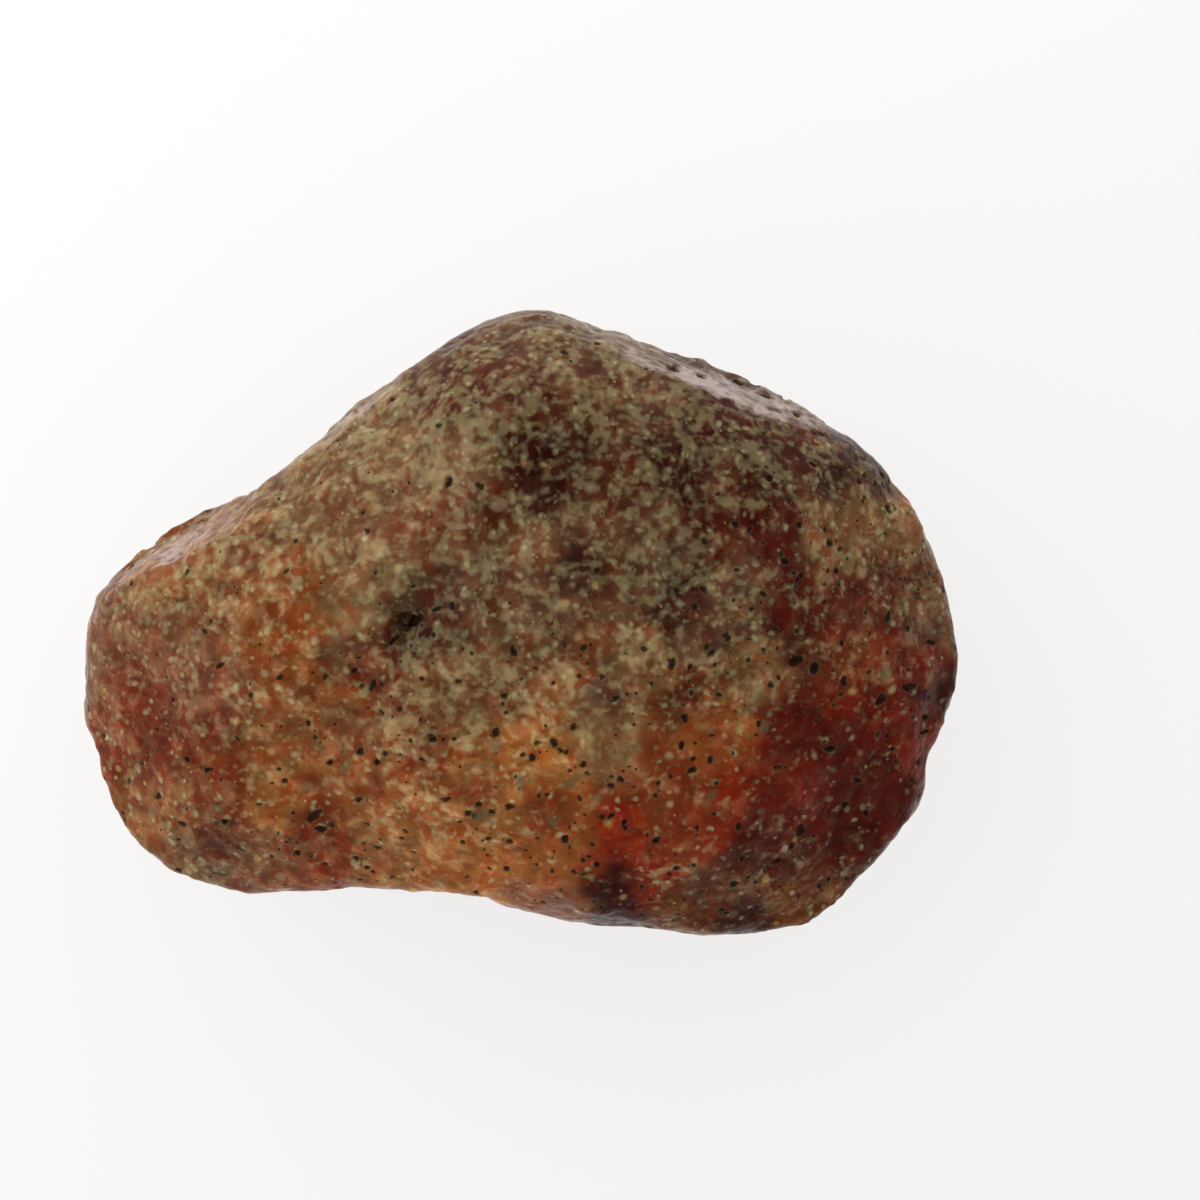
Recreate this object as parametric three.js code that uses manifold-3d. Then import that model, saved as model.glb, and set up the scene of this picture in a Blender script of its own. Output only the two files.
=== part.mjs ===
// A rough fire agate: one waxy pebble of chalcedony, kidney-shaped from above, with a high steep
// back, a gentle front and a small left lobe. It has a dent with a crease running through it, a
// crusty pocket, ledges along the back edge, chips in the rim and fields of small pits.
// Millimetres, +Z up, +Y towards the steep back. The origin is under the middle of the stone.

import * as THREE from 'three';
import { mergeVertices } from 'three/addons/utils/BufferGeometryUtils.js';
import Module from 'manifold-3d';

// Driving dimensions
const LENGTH = 45;
const WIDTH = 32.3;
const HEIGHT = 18.5;

// The outline seen from above, clockwise from the left tip, for a stone of the length above.
const OUTLINE = [
  [-22.5, -3.4], [-22.3, -0.4], [-21.6, 1.7], [-20.5, 3.1], [-18.7, 4.6], [-16.9, 5.7],
  [-15.0, 6.4], [-13.2, 6.8], [-12.2, 7.4], [-11.2, 8.5], [-9.4, 10.1], [-7.6, 11.6],
  [-5.7, 12.9], [-3.9, 14.1], [-2.0, 15.3], [-0.1, 16.0], [1.5, 16.2], [2.7, 15.9],
  [3.6, 15.4], [5.0, 15.2], [5.9, 14.7], [8.3, 14.1], [10.1, 13.5], [12.0, 12.8],
  [13.8, 11.9], [15.7, 10.7], [17.5, 9.3], [18.7, 8.2], [19.4, 7.0], [20.4, 6.0],
  [21.3, 4.2], [21.8, 2.4], [22.2, 0.4], [22.5, -2.1], [22.2, -4.3], [21.4, -6.2],
  [21.3, -7.8], [20.6, -9.6], [19.5, -11.1], [17.8, -13.1], [15.7, -14.7], [13.8, -15.5],
  [12.0, -16.0], [10.1, -16.15], [8.2, -16.0], [6.4, -15.6], [4.5, -15.5], [2.7, -15.2],
  [-0.1, -14.5], [-2.0, -13.95], [-3.2, -13.6], [-4.2, -13.3], [-5.6, -13.5], [-9.4, -13.6],
  [-14.1, -13.8], [-15.9, -13.3], [-17.8, -12.6], [-19.2, -11.6], [-20.2, -10.4],
  [-20.9, -8.7], [-21.5, -6.8], [-22.2, -5.2],
];
const OUTLINE_SAMPLES = 900;

// The point that the outline is seen from, and the heights there. The rim is the widest line round
// the stone. It waves three times on its way round and runs a little higher along the steep back.
const HEART = new THREE.Vector2(0.8, -1.2);
const RIM_HEIGHT = 8.0;
const RIM_RISE_AT_BACK = 0.4;
const RIM_RISE_AT_RIGHT = 0.4;
const RIM_WAVE = 0.55;
const RIM_WAVES = 3;

// The crown is the highest place, from which the top falls away to each side.
const CROWN = new THREE.Vector2(3.5, 5.0);
const FALL_TO_LEFT = 0.0095;
const FALL_TO_RIGHT = 0.0165;
const FALL_TO_FRONT = 0.0135;

// How square the shoulders are: 2 is an ellipse, and a higher number stays flat for longer.
const SHOULDER = 4.2;
const SHOULDER_DROP_AT_BACK = 0.3;
const BELLY = 2.2;
const BELLY_BELOW_FLOOR = 0.45;

// Steep faces down the back: azimuth of the middle, half angle, and width as seen from above.
const STEEP_FACES = [[161, 14, 1.9], [131, 17, 0.75], [60, 28, 1.8]];
const STEEP_SLOPE = 4.6;

// Broad swells and hollows of the top: x, y, reach along x, reach along y, height.
const SWELLS = [
  [-14.0, -1.5, 5.5, 5.0, 0.9],
  [-16.5, -8.0, 4.0, 3.5, 0.7],
  [-2.5, -9.0, 5.0, 4.0, 0.9],
  [-1.0, 10.5, 5.0, 4.0, 0.8],
  [4.0, -2.5, 4.5, 4.0, 0.6],
  [12.5, 5.0, 3.5, 5.5, 0.9],
  [9.0, -10.0, 4.5, 3.5, 0.5],
  [17.5, -3.5, 3.0, 5.0, 0.6],
  [-9.5, 4.5, 3.5, 3.0, 0.6],
  [-8.5, -9.5, 3.0, 5.0, -0.9],
  [16.0, -9.5, 2.6, 2.2, -0.7],
  [5.5, -14.0, 2.4, 1.8, -0.5],
  [-19.0, -3.0, 2.0, 2.4, -0.5],
  [19.0, 2.5, 2.0, 2.6, -0.4],
];

// The crease is a narrow valley through the dent, where the small lobe meets the large one.
const CREASE = [[-8.6, -5.0], [-7.2, -2.6], [-5.4, 0.0], [-3.6, 1.7], [-2.6, 3.6]];
const CREASE_WIDTH = 1.25;
const CREASE_DEPTH = 0.75;

// The crusty pocket, with the low crystal lumps that stand in it.
const POCKET = new THREE.Vector2(7.3, 3.0);
const POCKET_REACH = 2.3;
const POCKET_DEPTH = 1.1;
const CRUST_LUMPS = 7;
const CRUST_RING = 1.5;
const CRUST_REACH = 0.75;
const CRUST_HEIGHT = 0.45;

// Low knobs all over the skin, as on any pebble of this kind.
const KNOBS = 240;
const KNOB_REACH = 0.105;
const KNOB_HEIGHT = 0.5;
const KNOB_SHARE_AT_RIM = 0.3;

// Ledges: short shelves that step down the back edge. Place, reach to each side, how far each bites.
const LEDGES = [[4.6, 14.6, 1.5, 0.6], [8.6, 13.3, 1.9, 0.7], [12.6, 11.7, 1.7, 0.6], [-17.2, 4.6, 1.8, 0.5]];

// Deep holes in the top, cut one by one: x, y, radius along, radius across, depth, turn.
const DENTS = [
  [-5.4, 0.0, 1.15, 0.7, 1.0, 45],
  [9.0, 3.4, 0.9, 0.55, 0.9, 70],
  [7.9, 1.9, 0.8, 0.6, 0.8, 10],
  [-2.0, -10.0, 0.5, 0.4, 0.35, 20],
  [-15.2, 5.2, 0.6, 0.4, 0.4, 30],
];

// Chips that nick the rim: azimuth, height above the rim line, radius along, radius across, depth.
const RIM_CHIPS = [
  [-107.5, 0.0, 0.75, 0.9, 0.55],
  [6.0, 0.2, 0.5, 0.8, 0.45],
  [-68.5, -0.1, 0.6, 0.8, 0.4],
  [-18.0, 0.4, 0.9, 0.9, 0.5],
  [-28.5, 0.0, 0.8, 0.8, 0.45],
  [196.0, 0.3, 0.7, 0.8, 0.4],
];

// Fields of pits on the upper side: middle, half width, half height, how many, mean radius.
const PIT_FIELDS = [
  [13.0, 11.0, 3.2, 1.5, 11, 0.42],
  [15.5, 3.0, 2.4, 4.0, 11, 0.45],
  [17.0, -3.5, 3.0, 4.0, 13, 0.48],
  [1.0, -7.5, 5.0, 3.4, 15, 0.42],
  [9.5, -8.0, 4.5, 3.5, 10, 0.42],
  [-13.5, -6.5, 5.0, 4.5, 9, 0.42],
  [-18.5, 3.6, 1.8, 0.9, 3, 0.4],
];
const PIT_DEPTH_SHARE = 0.85;
const PIT_STRETCH = 1.25;

// Pits in the sides and in the belly, spread evenly round the stone.
const SIDE_PITS = 16;
const SIDE_PIT_RADIUS = 0.5;

// Fineness of the skin, of the cutters of dents and chips, and of those of the small pits
const SKIN_DETAIL = 15;
const DENT_DETAIL = 1;
const PIT_DETAIL = 0;
const RANDOM_SEED = 20417;

// A repeatable stream of numbers from 0 to 1.
function randomStream(seed) {
  let state = seed;
  return () => {
    state = (state * 1664525 + 1013904223) % 4294967296;
    return state / 4294967296;
  };
}

const bell = (distance) => Math.exp(-distance * distance);

// The outline as (azimuth, radius) round the heart, in order of azimuth.
function sampleRim() {
  const points = OUTLINE.map(([x, y]) => new THREE.Vector3(x, y, 0));
  const curve = new THREE.CatmullRomCurve3(points, true, 'centripetal');
  const samples = curve.getSpacedPoints(OUTLINE_SAMPLES).map((point) => {
    const dx = point.x - HEART.x;
    const dy = point.y - HEART.y;
    return { azimuth: Math.atan2(dy, dx), radius: Math.hypot(dx, dy) };
  });
  return samples.sort((a, b) => a.azimuth - b.azimuth);
}

const RIM = sampleRim();

// How far the outline lies from the heart in a direction.
function rimRadius(azimuth) {
  const next = RIM.findIndex((sample) => sample.azimuth > azimuth);
  const after = RIM[Math.max(next, 0)];
  const before = RIM[next > 0 ? next - 1 : RIM.length - 1];
  const span = after.azimuth - before.azimuth;
  if (next <= 0 || span < 1e-6) {
    return after.radius;
  }
  return THREE.MathUtils.lerp(before.radius, after.radius, (azimuth - before.azimuth) / span);
}

function rimHeight(azimuth) {
  const tilt = RIM_RISE_AT_BACK * Math.sin(azimuth) + RIM_RISE_AT_RIGHT * Math.cos(azimuth);
  return RIM_HEIGHT + tilt + RIM_WAVE * Math.cos(RIM_WAVES * azimuth);
}

function distanceToCrease(x, y) {
  const place = new THREE.Vector3(x, y, 0);
  const nearest = new THREE.Vector3();
  const distances = CREASE.slice(1).map((end, index) => {
    const start = CREASE[index];
    const stretch = new THREE.Line3(new THREE.Vector3(...start, 0), new THREE.Vector3(...end, 0));
    stretch.closestPointToPoint(place, true, nearest);
    return nearest.distanceTo(place);
  });
  return Math.min(...distances);
}

// The pocket sinks in, and its crust stands up in a ring of small lumps.
function pocketRelief(x, y) {
  const dx = x - POCKET.x;
  const dy = y - POCKET.y;
  let relief = -POCKET_DEPTH * bell(Math.hypot(dx, dy) / POCKET_REACH);
  for (let lump = 0; lump < CRUST_LUMPS; lump += 1) {
    const turn = (lump / CRUST_LUMPS) * 2 * Math.PI;
    const away = Math.hypot(dx - CRUST_RING * Math.cos(turn), dy - CRUST_RING * Math.sin(turn));
    relief += CRUST_HEIGHT * bell(away / CRUST_REACH);
  }
  return relief;
}

function ledgeRelief(x, y) {
  return LEDGES.reduce((sum, [atX, atY, reach, bite]) => {
    const away = Math.hypot(x - atX, y - atY) / reach;
    return sum - bite / (1 + away ** 6);
  }, 0);
}

// Height of the top before its shoulder rounds it off: the broad form with its swells and hollows.
function crownHeight(x, y) {
  const dx = x - CROWN.x;
  const dy = y - CROWN.y;
  const sideFall = dx < 0 ? FALL_TO_LEFT : FALL_TO_RIGHT;
  let height = HEIGHT - sideFall * dx * dx - FALL_TO_FRONT * dy * dy;
  for (const [atX, atY, reachX, reachY, rise] of SWELLS) {
    height += rise * bell(Math.hypot((x - atX) / reachX, (y - atY) / reachY));
  }
  height -= CREASE_DEPTH * bell(distanceToCrease(x, y) / CREASE_WIDTH);
  return height + pocketRelief(x, y) + ledgeRelief(x, y);
}

const squarenessAt = (azimuth) => SHOULDER - SHOULDER_DROP_AT_BACK * Math.sin(azimuth);

// Height of the rounded top at a share of the way from the heart to the outline.
function topHeight(azimuth, share) {
  const squareness = squarenessAt(azimuth);
  const reach = share * rimRadius(azimuth);
  const crown = crownHeight(HEART.x + reach * Math.cos(azimuth), HEART.y + reach * Math.sin(azimuth));
  const rim = rimHeight(azimuth);
  return rim + (1 - share ** squareness) ** (1 / squareness) * (crown - rim);
}

// The highest that a steep face lets the top be at a distance in from the outline.
function steepLimit(azimuth, inset) {
  const degrees = THREE.MathUtils.radToDeg(azimuth);
  const width = STEEP_FACES.reduce((widest, [middle, halfAngle, full]) => {
    const away = (degrees - middle) / halfAngle;
    return Math.max(widest, full * (1 - away * away));
  }, 0);
  if (inset >= width) {
    return Infinity;
  }
  return topHeight(azimuth, 1 - width / rimRadius(azimuth)) - STEEP_SLOPE * (width - inset);
}

// Knobs stand at directions that wind evenly round a ball, each with a height of its own.
function makeKnobs(random) {
  const golden = Math.PI * (3 - Math.sqrt(5));
  return Array.from({ length: KNOBS }, (unused, index) => {
    const z = 1 - (2 * (index + random())) / KNOBS;
    const ring = Math.sqrt(Math.max(0, 1 - z * z));
    const turn = golden * index + random();
    return {
      direction: new THREE.Vector3(ring * Math.cos(turn), ring * Math.sin(turn), z),
      height: KNOB_HEIGHT * (2 * random() - 0.8),
      reach: KNOB_REACH * (0.7 + 0.8 * random()),
    };
  });
}

// Moves a point of a unit ball to its place on the stone.
function placeOnStone(direction, knobs) {
  const azimuth = Math.atan2(direction.y, direction.x);
  const across = Math.hypot(direction.x, direction.y);
  const up = Math.abs(direction.z);
  const isTop = direction.z >= 0;
  const squareness = isTop ? squarenessAt(azimuth) : BELLY;
  const stretch = (across ** squareness + up ** squareness) ** (-1 / squareness);
  const reach = rimRadius(azimuth) * across * stretch;
  const x = HEART.x + reach * Math.cos(azimuth);
  const y = HEART.y + reach * Math.sin(azimuth);
  const rim = rimHeight(azimuth);
  const goal = isTop ? crownHeight(x, y) : -BELLY_BELOW_FLOOR;
  const limit = isTop ? Math.max(rim, steepLimit(azimuth, rimRadius(azimuth) - reach)) : Infinity;
  const place = new THREE.Vector3(x, y, Math.min(limit, rim + up * stretch * (goal - rim)));
  const swell = knobs.reduce((sum, knob) => {
    const angle = direction.angleTo(knob.direction);
    return sum + knob.height * bell(angle / knob.reach);
  }, 0);
  const share = Math.min(1, KNOB_SHARE_AT_RIM + 1.5 * up);
  return place.addScaledVector(direction, share * swell);
}

// The closed skin, fitted to the driving length and width about the origin.
function makeSkin(random) {
  const ball = new THREE.IcosahedronGeometry(1, SKIN_DETAIL);
  ball.deleteAttribute('normal');
  ball.deleteAttribute('uv');
  const skin = mergeVertices(ball, 1e-5);
  const knobs = makeKnobs(random);
  const places = skin.attributes.position;
  const direction = new THREE.Vector3();
  for (let index = 0; index < places.count; index += 1) {
    direction.fromBufferAttribute(places, index).normalize();
    const place = placeOnStone(direction, knobs);
    places.setXYZ(index, place.x, place.y, place.z);
  }
  skin.computeBoundingBox();
  const box = skin.boundingBox;
  skin.translate(-(box.min.x + box.max.x) / 2, -(box.min.y + box.max.y) / 2, 0);
  skin.scale(LENGTH / (box.max.x - box.min.x), WIDTH / (box.max.y - box.min.y), HEIGHT / box.max.z);
  return skin;
}

// Where a straight look from a point outside first meets the skin, with the way it faces there.
function meetSkin(mesh, from, way) {
  const hit = new THREE.Raycaster(from, way.normalize()).intersectObject(mesh)[0];
  return hit && { point: hit.point, normal: hit.face.normal.clone() };
}

function meetFromAbove(mesh, x, y) {
  return meetSkin(mesh, new THREE.Vector3(x, y, 2 * HEIGHT), new THREE.Vector3(0, 0, -1));
}

// A rounded cutter that sinks to a depth below the skin, turned to the way the skin faces.
function makeCutter(spot, radiusAlong, radiusAcross, depth, turn, detail) {
  const cutter = new THREE.IcosahedronGeometry(1, detail);
  const lift = 0.35 * depth;
  cutter.scale(radiusAlong, radiusAcross, depth + lift);
  cutter.rotateZ(THREE.MathUtils.degToRad(turn));
  const facing = new THREE.Quaternion().setFromUnitVectors(new THREE.Vector3(0, 0, 1), spot.normal);
  cutter.applyQuaternion(facing);
  const centre = spot.point.clone().addScaledVector(spot.normal, lift);
  return cutter.translate(centre.x, centre.y, centre.z);
}

function meetFromSide(mesh, azimuth, height) {
  const way = new THREE.Vector3(-Math.cos(azimuth), -Math.sin(azimuth), 0);
  const from = new THREE.Vector3(0, 0, height).addScaledVector(way, -LENGTH);
  return meetSkin(mesh, from, way);
}

// A small pit is a little longer than it is wide.
function makePitCutter(spot, radius, turn) {
  return makeCutter(spot, PIT_STRETCH * radius, radius, PIT_DEPTH_SHARE * radius, turn, PIT_DETAIL);
}

function makeDentCutters(mesh) {
  return DENTS.map(([x, y, along, across, depth, turn]) => {
    const spot = meetFromAbove(mesh, x, y);
    return makeCutter(spot, along, across, depth, turn, DENT_DETAIL);
  });
}

function makeChipCutters(mesh) {
  return RIM_CHIPS.map(([degrees, rise, along, across, depth]) => {
    const azimuth = THREE.MathUtils.degToRad(degrees);
    const spot = meetFromSide(mesh, azimuth, rimHeight(azimuth) + rise);
    return makeCutter(spot, along, across, depth, 0, DENT_DETAIL);
  });
}

function makePitCutters(mesh, random) {
  const cutters = [];
  for (const [atX, atY, halfWidth, halfHeight, count, meanRadius] of PIT_FIELDS) {
    for (let pit = 0; pit < count; pit += 1) {
      const x = atX + halfWidth * (2 * random() - 1);
      const y = atY + halfHeight * (2 * random() - 1);
      const radius = meanRadius * (0.75 + 0.5 * random());
      const turn = 180 * random();
      const spot = meetFromAbove(mesh, x, y);
      if (spot) {
        cutters.push(makePitCutter(spot, radius, turn));
      }
    }
  }
  return cutters;
}

// Pits in the sides face outwards, a little below or above the rim.
function makeSidePitCutters(mesh, random) {
  return Array.from({ length: SIDE_PITS }, (unused, index) => {
    const azimuth = ((index + 0.6 * random()) / SIDE_PITS) * 2 * Math.PI;
    const spot = meetFromSide(mesh, azimuth, RIM_HEIGHT * (0.45 + random()));
    const radius = SIDE_PIT_RADIUS * (0.8 + 0.5 * random());
    return makePitCutter(spot, radius, 180 * random());
  });
}

// What lies below the surface that the stone rests on is cut off flat.
function makeFloorCutter() {
  const box = new THREE.BoxGeometry(2 * LENGTH, 2 * WIDTH, HEIGHT);
  return box.translate(0, 0, -HEIGHT / 2);
}

const manifold = await Module();
manifold.setup();

function toSolid(geometry) {
  const bare = geometry.clone();
  bare.deleteAttribute('normal');
  bare.deleteAttribute('uv');
  const closed = mergeVertices(bare, 1e-5);
  return new manifold.Manifold(new manifold.Mesh({
    numProp: 3,
    vertProperties: new Float32Array(closed.attributes.position.array),
    triVerts: new Uint32Array(closed.index.array),
  }));
}

function toGeometry(solid) {
  const mesh = solid.getMesh();
  const geometry = new THREE.BufferGeometry();
  geometry.setAttribute('position', new THREE.BufferAttribute(mesh.vertProperties, 3));
  geometry.setIndex(new THREE.BufferAttribute(mesh.triVerts, 1));
  return geometry;
}

function makeStone() {
  const random = randomStream(RANDOM_SEED);
  const skin = makeSkin(random);
  const skinMesh = new THREE.Mesh(skin);
  const cutters = [
    ...makeDentCutters(skinMesh),
    ...makeChipCutters(skinMesh),
    ...makePitCutters(skinMesh, random),
    ...makeSidePitCutters(skinMesh, random),
    makeFloorCutter(),
  ];
  const stone = cutters.reduce((solid, cutter) => solid.subtract(toSolid(cutter)), toSolid(skin));
  return toGeometry(stone);
}

const chalcedony = new THREE.MeshStandardMaterial({ color: 0x85502f, roughness: 0.4, metalness: 0 });
const stoneMesh = new THREE.Mesh(makeStone(), chalcedony);
stoneMesh.name = 'fire_agate';

const group = new THREE.Group();
group.add(stoneMesh);

export default group;
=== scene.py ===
"""A rough fire agate: a waxy, pitted pebble on a pale floor, seen from straight above.

Lengths are millimetres and are turned into metres where they meet the scene. Places that are taken from
the photograph are in its own pixels, on a frame of 1200 by 1200 with y running down.

The skin starts as an even mesh over the solid. Its back is made steeper, holes and fine relief are pressed
in, and each vertex keeps the slow colours and the amount of each marking. The material fills these in with
clouds, curds, dots and pores that run through the stone in three dimensions.
"""

from collections import namedtuple

import bmesh
import bpy
import numpy as np
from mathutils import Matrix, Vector
from mathutils.kdtree import KDTree


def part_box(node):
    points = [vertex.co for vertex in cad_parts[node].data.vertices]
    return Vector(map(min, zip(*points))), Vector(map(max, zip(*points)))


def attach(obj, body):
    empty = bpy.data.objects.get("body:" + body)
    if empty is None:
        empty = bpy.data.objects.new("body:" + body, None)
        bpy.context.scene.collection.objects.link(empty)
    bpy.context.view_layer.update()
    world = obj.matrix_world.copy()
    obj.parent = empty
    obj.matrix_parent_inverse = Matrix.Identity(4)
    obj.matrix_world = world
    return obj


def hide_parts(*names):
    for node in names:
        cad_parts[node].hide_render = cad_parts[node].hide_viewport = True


MM = 0.001
NODE = "fire_agate"
SEED = 7341

# The camera looks straight down. The photograph's frame is this wide at the height of the rim.
FRAME_PIXELS = 1200
FRAME_WIDTH = 62.0
PIXEL = FRAME_WIDTH / FRAME_PIXELS
RIM_HEIGHT = 8.0
CAMERA_DISTANCE = 176.0
CAMERA_X = 4.21
CAMERA_Y = 1.21
SENSOR_WIDTH = 36.0
CLIP_START = 10.0

# The even skin: how near corners are welded, the size of a face, and the rounds of smoothing for the whole
# form and for the finer faces. Each round moves in by the first share and out by the second.
WELD = 0.001
VOXEL = 0.45
FORM_ROUNDS = 16
FINE_ROUNDS = 2
SMOOTHING_SHARES = (0.5, -0.52)

# Faces are halved where the stone shows, which is where they face less steeply down than this.
FACING_DOWN = -0.45

# While the facets are rounded, dents begin to be kept at the first depth and are kept in full at the second.
KEPT_DENT = (0.05, 0.14)

# Steep faces down the back: the line of their upper edge, in pixels of the photograph, from left to right.
STEEP_EDGES = [
    [(104, 596), (150, 567), (193, 553), (235, 528), (262, 506)],
    [(305, 468), (322, 452), (366, 407), (412, 381)],
    [(565, 327), (600, 342), (640, 364), (690, 383), (735, 400), (790, 424), (856, 448)],
]

# How the wall below them is pushed in: its slope in degrees, the rounding of the upper edge, the most that
# it moves, how far out and how low it is looked for, and over how many pixels this fades at both ends.
STEEP_SLOPE = 78
STEEP_SOFTNESS = 0.12
STEEP_MOST = 0.9
STEEP_WIDTH = 2.5
STEEP_LOWEST = RIM_HEIGHT - 1
STEEP_END = 22

# The level of an upper edge is read at this many stops, from upward vertices this near to the line.
EDGE_STOPS = 12
EDGE_NEAR = 0.2
EDGE_FACING = 0.02
TINY = 1e-6

# Colours of the ground mass, as the photograph shows them, from 0 to 255.
PALETTE = {
    "olive": (136, 110, 73),
    "khaki": (111, 79, 55),
    "bronze": (110, 60, 24),
    "greige": (134, 101, 70),
    "tan": (138, 105, 63),
    "sand": (150, 97, 52),
    "ochre": (174, 111, 53),
    "orange": (148, 85, 38),
    "rust": (130, 61, 26),
    "brick": (128, 55, 25),
    "blush": (140, 91, 61),
    "taupe": (98, 54, 32),
    "umber": (95, 41, 22),
    "chocolate": (63, 19, 9),
    "maroon": (78, 19, 8),
    "wine": (52, 7, 3),
    "red": (105, 28, 9),
    "flame": (136, 41, 13),
}

# Soft patches of colour: colour, x, y and reach in pixels of the photograph. The wine, umber and rust patches
# along the crease by the dent, from 370, 662 to 440, 608, paint its shade.
PATCHES = [
    ("greige", 88, 680, 16), ("blush", 115, 625, 26), ("sand", 190, 600, 40), ("sand", 245, 560, 34),
    ("orange", 295, 615, 32), ("orange", 300, 670, 26), ("brick", 135, 700, 30), ("blush", 195, 670, 28),
    ("brick", 185, 730, 32), ("rust", 225, 785, 24), ("brick", 150, 755, 22), ("sand", 145, 805, 26),
    ("greige", 185, 868, 20), ("umber", 228, 838, 16), ("blush", 265, 855, 20), ("brick", 315, 815, 15),
    ("ochre", 275, 800, 18), ("brick", 335, 855, 20), ("sand", 285, 745, 24), ("sand", 345, 720, 20),
    ("tan", 320, 500, 34), ("olive", 385, 455, 38), ("taupe", 445, 408, 24), ("olive", 470, 450, 22),
    ("umber", 490, 512, 16), ("blush", 375, 520, 30), ("olive", 395, 575, 22), ("tan", 345, 610, 20),
    ("wine", 415, 625, 17), ("umber", 392, 642, 13), ("rust", 370, 662, 15), ("khaki", 345, 645, 16),
    ("umber", 440, 608, 12), ("khaki", 470, 590, 42), ("blush", 420, 520, 30), ("tan", 440, 690, 26),
    ("tan", 505, 675, 24), ("sand", 560, 668, 20), ("orange", 415, 718, 18), ("rust", 430, 752, 12),
    ("ochre", 510, 768, 42), ("ochre", 430, 840, 40), ("sand", 390, 850, 26), ("rust", 470, 800, 16),
    ("rust", 545, 808, 14), ("orange", 560, 850, 26), ("blush", 560, 905, 20), ("orange", 345, 790, 22),
    ("taupe", 480, 370, 24), ("khaki", 535, 335, 22), ("khaki", 590, 400, 28), ("umber", 530, 400, 20),
    ("chocolate", 572, 460, 30), ("chocolate", 520, 445, 20), ("taupe", 610, 480, 24),
    ("chocolate", 680, 465, 26), ("maroon", 725, 420, 30), ("khaki", 650, 405, 16), ("taupe", 722, 470, 14),
    ("chocolate", 765, 450, 20), ("umber", 800, 440, 16), ("chocolate", 840, 470, 20),
    ("khaki", 585, 520, 18), ("khaki", 648, 540, 26), ("umber", 708, 530, 18), ("chocolate", 682, 595, 19),
    ("khaki", 612, 575, 20), ("greige", 530, 560, 18), ("chocolate", 580, 568, 16), ("khaki", 548, 612, 24),
    ("khaki", 735, 610, 28), ("tan", 762, 660, 16), ("tan", 645, 678, 18), ("khaki", 600, 692, 18),
    ("umber", 680, 700, 13), ("tan", 612, 742, 20), ("maroon", 785, 545, 20), ("maroon", 790, 605, 20),
    ("tan", 850, 530, 26), ("umber", 830, 600, 18), ("umber", 880, 592, 24), ("bronze", 918, 560, 16),
    ("khaki", 935, 615, 14), ("umber", 805, 660, 20), ("rust", 855, 650, 20), ("red", 895, 680, 26),
    ("wine", 938, 690, 14), ("orange", 700, 740, 26), ("rust", 665, 785, 28), ("flame", 612, 835, 17),
    ("wine", 612, 890, 22), ("flame", 655, 870, 16), ("flame", 715, 800, 24), ("red", 780, 780, 30),
    ("maroon", 812, 740, 22), ("red", 855, 705, 24), ("maroon", 860, 775, 26), ("red", 915, 745, 14),
    ("maroon", 852, 838, 24), ("maroon", 760, 840, 22), ("taupe", 715, 880, 18),
    ("chocolate", 735, 918, 14), ("bronze", 680, 915, 14), ("bronze", 800, 893, 18),
    ("umber", 800, 858, 16), ("brick", 690, 835, 20),
]

# How thickly the markings lie: x, y, reach, amount, as above.
HAZE_PATCHES = [
    (190, 600, 50, 0.8), (150, 720, 60, 0.5), (250, 545, 50, 0.9), (295, 615, 36, 0.25),
    (160, 820, 60, 0.5), (300, 700, 50, 0.5), (290, 800, 50, 0.3), (190, 870, 40, 0.9), (400, 450, 60, 1.0),
    (390, 525, 40, 0.5), (500, 380, 40, 0.8), (600, 400, 50, 0.9), (570, 465, 45, 0.75),
    (700, 440, 60, 0.8), (480, 600, 60, 0.75), (570, 560, 40, 0.75), (640, 560, 40, 0.9),
    (620, 650, 60, 0.7), (740, 640, 50, 0.7), (820, 440, 50, 0.6), (785, 560, 30, 0.15),
    (860, 530, 40, 0.7), (920, 580, 30, 0.8), (870, 640, 40, 0.4), (460, 690, 60, 0.9),
    (510, 780, 50, 0.35), (430, 830, 50, 0.5), (560, 850, 40, 0.15), (700, 760, 70, 0.2),
    (840, 740, 80, 0.15), (800, 885, 40, 0.5), (680, 910, 40, 0.5), (330, 870, 40, 0.4),
    (612, 885, 24, 0.0),
]
FLECK_PATCHES = [
    (170, 660, 90, 0.85), (300, 560, 90, 0.8), (420, 450, 80, 0.75), (560, 430, 90, 0.9),
    (700, 450, 80, 0.9), (600, 560, 80, 1.0), (740, 640, 60, 0.9), (480, 620, 70, 0.8), (240, 820, 70, 0.6),
    (520, 720, 60, 0.45), (470, 830, 70, 0.25), (850, 540, 50, 0.5), (660, 800, 60, 0.25),
    (800, 740, 80, 0.3), (760, 870, 60, 0.4),
]
PORE_PATCHES = [
    (520, 780, 90, 1.0), (640, 840, 80, 0.9), (700, 760, 80, 0.9), (840, 600, 70, 1.0), (850, 700, 70, 0.9),
    (470, 700, 60, 0.6), (220, 760, 90, 0.45), (340, 720, 70, 0.6), (600, 660, 70, 0.5),
    (420, 850, 60, 0.5), (780, 820, 70, 0.5), (300, 560, 80, 0.15), (560, 430, 100, 0.1),
    (180, 620, 80, 0.15),
]

# How softly a patch thins out, and the least weight, for places that no patch reaches. The edge of a patch is
# frayed by noises of two sizes, each with the most pixels that it moves the edge.
PATCH_SOFTNESS = 1.3
LEAST_WEIGHT = 1e-9
FRAYS = [(1.3, 13.0), (0.5, 6.0)]

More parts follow.
